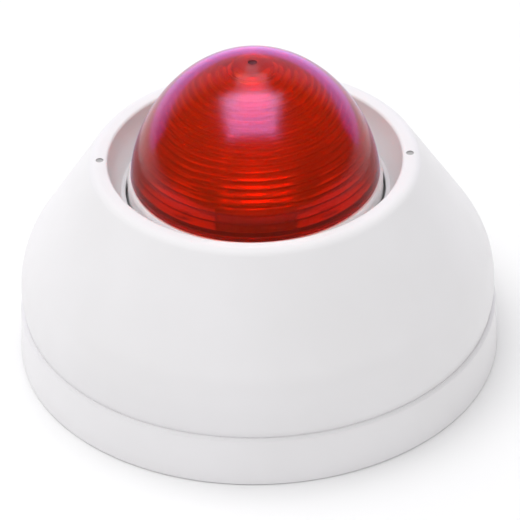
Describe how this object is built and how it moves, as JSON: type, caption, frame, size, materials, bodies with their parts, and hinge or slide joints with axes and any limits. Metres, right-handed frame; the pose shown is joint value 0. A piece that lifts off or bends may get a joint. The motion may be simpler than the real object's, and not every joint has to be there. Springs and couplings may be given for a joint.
{
  "type": "alarm siren",
  "caption": "Round wall-mounted alarm siren: white domed cover, ribbed red beacon lens in its throat, with the loudspeaker, strobe and control board inside.",
  "frame": {"origin": "centre of the flat back, which rests on the wall", "axes": "+Z away from the wall, out of the lens; +Y up on the wall; +X to the right as seen from the front with +Y up"},
  "size_m": [0.12, 0.12, 0.082],
  "materials": {
    "white_plastic": "smooth moulded gloss",
    "red_lens": "clear red, ribbed inside",
    "black_rubber": "matt",
    "green_board": "solder mask",
    "white_board": "white solder mask",
    "steel": "satin",
    "zinc": "zinc plated",
    "ferrite": "matt",
    "copper": "enamelled copper wire",
    "clear_glass": "clear",
    "mirror_plate": "bright",
    "black_plastic": "satin",
    "blue_plastic": "satin",
    "amber_film": "thin translucent film",
    "cream_plastic": "satin",
    "red_wire": "smooth",
    "black_wire": "smooth",
    "foam": "open-cell foam"
  },
  "bodies": {
    "base_unit": {"base": "white_plastic", "cable_grommet": "black_rubber", "cover_seal": "black_rubber", "cover_screw_1": "zinc", "cover_screw_2": "zinc", "cover_screw_3": "zinc", "tower_screw_1": "zinc", "tower_screw_2": "zinc", "tower_screw_3": "zinc", "lens_tower": "white_plastic", "lens_seal": "black_rubber", "lens": "red_lens", "strobe_board": "white_board", "strobe_screw_1": "steel", "strobe_screw_2": "steel", "strobe_screw_3": "steel", "reflector": "mirror_plate", "flash_tube": "clear_glass", "tube_electrode_left": "steel", "tube_electrode_right": "steel", "strobe_capacitor": "black_plastic", "trigger_transformer": "cream_plastic", "speaker_yoke": "zinc", "speaker_magnet": "ferrite", "speaker_top_plate": "zinc", "speaker_frame": "steel", "cone_surround": "amber_film", "speaker_gasket": "foam", "speaker_screw_1": "zinc", "speaker_screw_2": "zinc", "speaker_screw_3": "zinc", "control_board": "green_board", "board_screw_1": "steel", "board_screw_2": "steel", "board_screw_3": "steel", "terminal_block": "blue_plastic", "terminal_screw_1": "steel", "terminal_screw_2": "steel", "terminal_screw_3": "steel", "terminal_screw_4": "steel", "filter_capacitor": "black_plastic", "transformer_core": "ferrite", "transformer_winding": "copper", "control_chip": "black_plastic", "driver_transistor": "black_plastic", "speaker_connector": "cream_plastic", "strobe_connector": "cream_plastic", "tamper_switch": "black_plastic", "tamper_spring": "steel", "strobe_lead_red": "red_wire", "strobe_lead_black": "black_wire", "speaker_lead_red": "red_wire", "speaker_lead_black": "black_wire"},
    "cover_unit": {"cover": "white_plastic"},
    "cone_unit": {"voice_coil": "copper", "speaker_cone": "amber_film"},
    "plunger_unit": {"tamper_plunger": "cream_plastic"}
  },
  "joints": [
    {"name": "cover_lift", "type": "slide", "parent": "base_unit", "child": "cover_unit", "axis": [0, 0, 1], "range_m": [0, 0.085]},
    {"name": "cone_stroke", "type": "slide", "parent": "base_unit", "child": "cone_unit", "axis": [0, 0, 1], "range_m": [-0.0004, 0.0004], "stiffness_N_per_m": 800},
    {"name": "tamper_press", "type": "slide", "parent": "base_unit", "child": "plunger_unit", "axis": [0, 0, 1], "range_m": [0, 0.0015], "deforming": ["tamper_spring"]}
  ],
  "couplings": [
    {"joint": "tamper_press", "follows": "cover_lift", "ratio": 0.017647}
  ]
}
